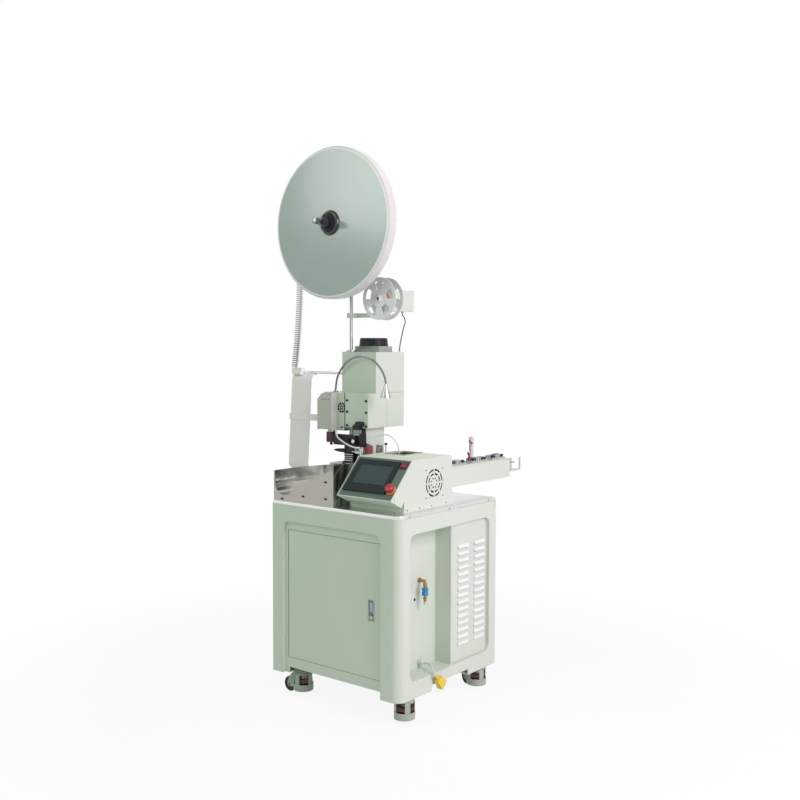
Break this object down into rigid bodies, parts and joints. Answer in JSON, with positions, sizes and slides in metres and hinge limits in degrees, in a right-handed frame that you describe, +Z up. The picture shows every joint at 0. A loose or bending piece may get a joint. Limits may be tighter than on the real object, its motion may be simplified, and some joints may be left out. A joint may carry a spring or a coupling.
{
  "type": "terminal crimping machine",
  "caption": "Floor-standing machine that crimps terminals onto wires: a cabinet on levelling castors carries a press, a touch console, a catch tray, a wire straightener and an overhead reel.",
  "frame": {"origin": "centre of the machine's box on the floor, under its castor wheels", "axes": "+Z up, +Y towards the back, -Y towards the operator and the door, +X to the operator's right, where the console stands"},
  "size_m": [0.8455, 0.927, 2.195],
  "materials": {
    "mint_paint": "pale mint-white powder coat, satin",
    "grey_paint": "grey-green paint, satin",
    "black_metal": "blackened steel",
    "steel": "brushed steel",
    "polished_steel": "polished sheet steel",
    "screen_plastic": "black plastic with a dark screen",
    "black_plastic": "black nylon",
    "foot_rubber": "black pad and dark red thumbwheel",
    "reel_plastic": "glossy grey-green sheet with a white rim",
    "spool_plastic": "pale moulded plastic",
    "red_plastic": "glossy red plastic",
    "red_metal": "red anodised metal",
    "blue_plastic": "glossy blue",
    "brass": "plain brass",
    "lamp_steel": "bright plated steel",
    "white_plastic": "white plastic tube",
    "cable_grey": "grey-white cable",
    "yellow_plastic": "yellow plug with metal blades",
    "electrics_plastic": "mounting plate with plain blocks"
  },
  "bodies": {
    "machine": {"cabinet_body": "mint_paint", "table_plate": "steel", "louvre_panel": "mint_paint", "control_panel": "electrics_plastic", "console_housing": "mint_paint", "touch_screen": "screen_plastic", "tray_trough": "polished_steel", "tray_front_plate": "steel", "press_frame": "mint_paint", "press_face_plate": "mint_paint", "press_housing": "mint_paint", "press_motor": "black_metal", "wire_box": "grey_paint", "applicator_frame": "black_metal", "cutter_block": "steel", "feed_unit": "mint_paint", "valve_block": "red_metal", "lamp_neck": "lamp_steel", "lamp_head": "lamp_steel", "reel_pole": "steel", "terminal_strip": "steel", "guide_plate": "grey_paint", "takeup_drive": "mint_paint", "takeup_cable": "black_plastic", "straightener_beam": "mint_paint", "roller_bank_1": "steel", "roller_bank_2": "steel", "roller_bank_3": "steel", "air_inlet": "brass", "wire_tube": "white_plastic", "air_tube": "white_plastic", "power_cord": "cable_grey", "power_plug": "yellow_plastic"},
    "door": {"door": "mint_paint"},
    "latch": {"latch_paddle": "steel"},
    "castor_1": {"castor_1_housing": "mint_paint"},
    "wheel_1": {"castor_1_wheel": "black_plastic"},
    "foot_1": {"castor_1_foot": "foot_rubber"},
    "castor_2": {"castor_2_housing": "mint_paint"},
    "wheel_2": {"castor_2_wheel": "black_plastic"},
    "foot_2": {"castor_2_foot": "foot_rubber"},
    "castor_3": {"castor_3_housing": "mint_paint"},
    "wheel_3": {"castor_3_wheel": "black_plastic"},
    "foot_3": {"castor_3_foot": "foot_rubber"},
    "castor_4": {"castor_4_housing": "mint_paint"},
    "wheel_4": {"castor_4_wheel": "black_plastic"},
    "foot_4": {"castor_4_foot": "foot_rubber"},
    "rocker": {"power_switch": "red_plastic"},
    "stop": {"stop_button": "red_plastic"},
    "fan": {"fan_rotor": "black_plastic"},
    "ram": {"press_ram": "black_metal", "applicator_ram": "steel"},
    "finger": {"feed_finger": "black_metal"},
    "arm": {"transfer_arm": "steel"},
    "reel": {"terminal_reel": "reel_plastic"},
    "spool": {"takeup_spool": "spool_plastic"},
    "clamp_1": {"clamp_lever_1": "red_plastic"},
    "clamp_2": {"clamp_lever_2": "red_plastic"},
    "pulley": {"end_pulley": "steel"},
    "valve_sleeve": {"air_valve_sleeve": "blue_plastic"}
  },
  "joints": [
    {"name": "door_hinge", "type": "hinge", "parent": "machine", "child": "door", "pos_m": [-0.1635, -0.44, 0.1645], "axis": [0, 0, -1], "range_deg": [0, 100]},
    {"name": "latch_hinge", "type": "hinge", "parent": "door", "child": "latch", "pos_m": [0.261, -0.442, 0.4562], "axis": [-1, 0, 0], "range_deg": [0, 35], "stiffness_Nm_per_rad": 0.05},
    {"name": "swivel_1", "type": "hinge", "parent": "machine", "child": "castor_1", "pos_m": [-0.147, -0.3795, 0], "axis": [0, 0, 1], "continuous": true},
    {"name": "wheel_spin_1", "type": "hinge", "parent": "castor_1", "child": "wheel_1", "pos_m": [-0.2135, -0.3795, 0.03], "axis": [0, -1, 0], "continuous": true},
    {"name": "foot_screw_1", "type": "slide", "parent": "castor_1", "child": "foot_1", "axis": [0, 0, -1], "range_m": [0, 0.0175]},
    {"name": "swivel_2", "type": "hinge", "parent": "machine", "child": "castor_2", "pos_m": [0.364, -0.3725, 0], "axis": [0, 0, 1], "continuous": true},
    {"name": "wheel_spin_2", "type": "hinge", "parent": "castor_2", "child": "wheel_2", "pos_m": [0.30887, -0.33531, 0.03], "axis": [-0.5592, -0.829, 0], "continuous": true},
    {"name": "foot_screw_2", "type": "slide", "parent": "castor_2", "child": "foot_2", "axis": [0, 0, -1], "range_m": [0, 0.0175]},
    {"name": "swivel_3", "type": "hinge", "parent": "machine", "child": "castor_3", "pos_m": [0.357, 0.1165, 0], "axis": [0, 0, 1], "continuous": true},
    {"name": "wheel_spin_3", "type": "hinge", "parent": "castor_3", "child": "wheel_3", "pos_m": [0.29579, 0.14248, 0.03], "axis": [-0.3907, -0.9205, 0], "continuous": true},
    {"name": "foot_screw_3", "type": "slide", "parent": "castor_3", "child": "foot_3", "axis": [0, 0, -1], "range_m": [0, 0.0175]},
    {"name": "swivel_4", "type": "hinge", "parent": "machine", "child": "castor_4", "pos_m": [-0.157, 0.1085, 0], "axis": [0, 0, 1], "continuous": true},
    {"name": "wheel_spin_4", "type": "hinge", "parent": "castor_4", "child": "wheel_4", "pos_m": [-0.21459, 0.14175, 0.03], "axis": [-0.5, -0.866, 0], "continuous": true},
    {"name": "foot_screw_4", "type": "slide", "parent": "castor_4", "child": "foot_4", "axis": [0, 0, -1], "range_m": [0, 0.0175]},
    {"name": "switch_rock", "type": "hinge", "parent": "machine", "child": "rocker", "pos_m": [0.342, -0.35225, 0.95974], "axis": [1, 0, 0], "range_deg": [0, 16]},
    {"name": "stop_press", "type": "slide", "parent": "machine", "child": "stop", "axis": [0, 0.733, -0.6802], "range_m": [0, 0.004], "stiffness_N_per_m": 1500},
    {"name": "fan_spin", "type": "hinge", "parent": "machine", "child": "fan", "pos_m": [0.344, -0.1985, 0.8816], "axis": [1, 0, 0], "continuous": true},
    {"name": "ram_stroke", "type": "slide", "parent": "machine", "child": "ram", "axis": [0, 0, -1], "range_m": [0, 0.03]},
    {"name": "finger_swing", "type": "hinge", "parent": "machine", "child": "finger", "pos_m": [-0.05, -0.2415, 0.98], "axis": [0, 1, 0], "range_deg": [-12, 0]},
    {"name": "arm_turn", "type": "hinge", "parent": "machine", "child": "arm", "pos_m": [0.049, -0.2515, 0.9653], "axis": [0, 0, 1], "range_deg": [0, 70]},
    {"name": "reel_spin", "type": "hinge", "parent": "machine", "child": "reel", "pos_m": [-0.105, -0.2665, 1.892], "axis": [0, 1, 0], "continuous": true},
    {"name": "spool_spin", "type": "hinge", "parent": "machine", "child": "spool", "pos_m": [0.071, -0.1715, 1.59], "axis": [0, 1, 0], "continuous": true},
    {"name": "clamp_turn_1", "type": "hinge", "parent": "machine", "child": "clamp_1", "pos_m": [0.337, -0.0489, 0.9483], "axis": [1, 0, 0], "range_deg": [-70, 20]},
    {"name": "clamp_turn_2", "type": "hinge", "parent": "machine", "child": "clamp_2", "pos_m": [0.337, 0.0911, 0.9483], "axis": [1, 0, 0], "range_deg": [-70, 20]},
    {"name": "pulley_spin", "type": "hinge", "parent": "machine", "child": "pulley", "pos_m": [0.3015, 0.4355, 0.902], "axis": [1, 0, 0], "continuous": true},
    {"name": "valve_slide", "type": "slide", "parent": "machine", "child": "valve_sleeve", "axis": [0, 0, -1], "range_m": [0, 0.009]}
  ],
  "couplings": [
    {"joint": "finger_swing", "follows": "ram_stroke", "rad_per_m": -6.98}
  ]
}
